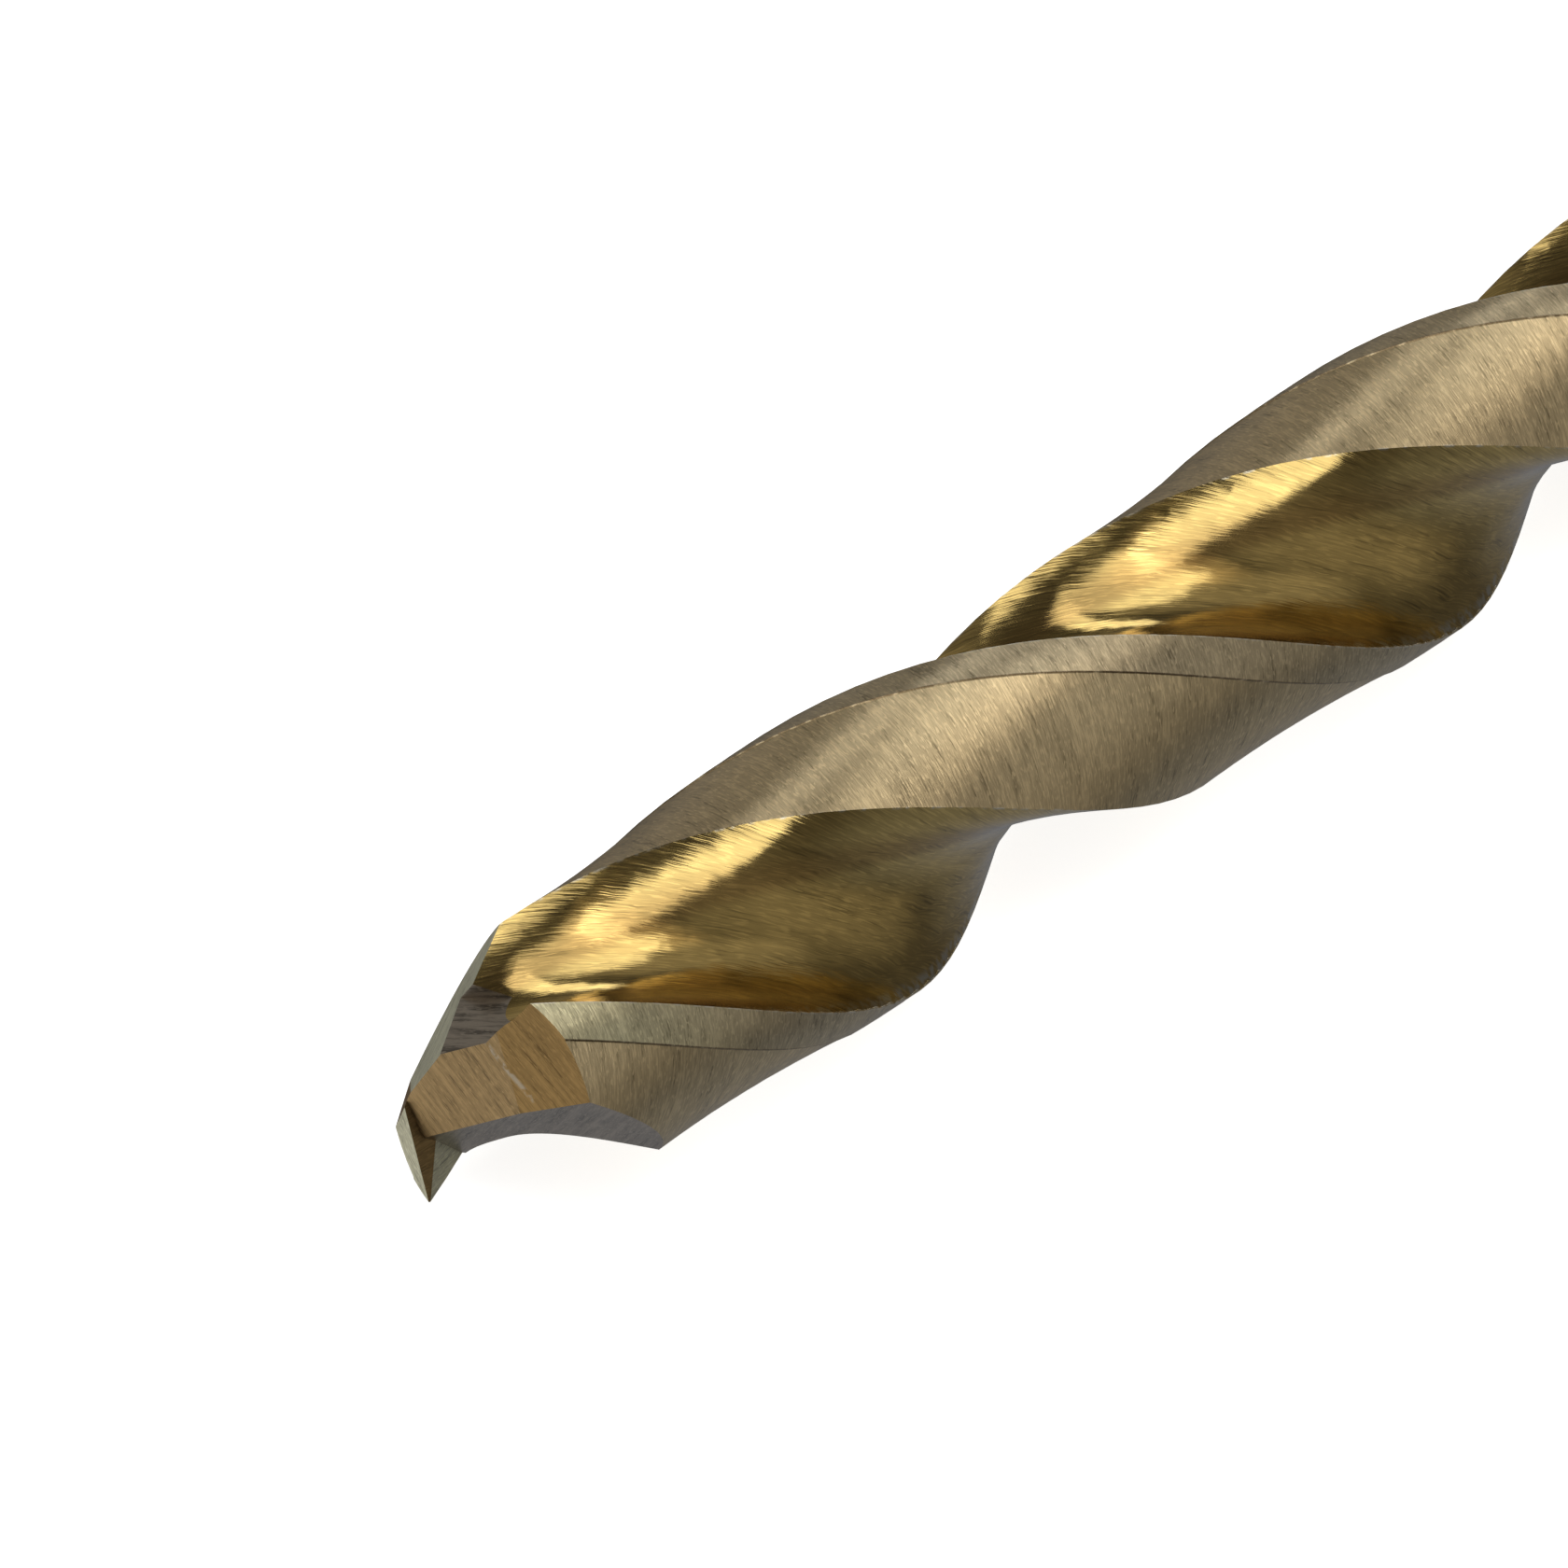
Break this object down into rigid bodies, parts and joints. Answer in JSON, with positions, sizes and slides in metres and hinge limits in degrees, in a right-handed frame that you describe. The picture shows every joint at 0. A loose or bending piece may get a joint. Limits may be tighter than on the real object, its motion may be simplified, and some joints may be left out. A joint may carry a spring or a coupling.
{
  "type": "end mill",
  "caption": "Long two-flute end mill: a helically fluted cutting head with ground end teeth on a plain round shank with one clamping flat.",
  "frame": {"origin": "on the tool's axis at the front of the shank's 45 mm gripping length, where the holder's face stands", "axes": "+X along the tool's axis from the cutting end to the shank's end face; +Z out of the clamping flat"},
  "size_m": [0.13, 0.012, 0.012],
  "materials": {
    "tool_steel": "ground high-speed steel with a warm straw tint, fine grinding lines along the flutes and across the lands",
    "shank_steel": "cylindrically ground alloy steel, fine lines around the shank"
  },
  "bodies": {
    "root": {"cutting_head": "tool_steel", "shank": "shank_steel"}
  },
  "joints": []
}
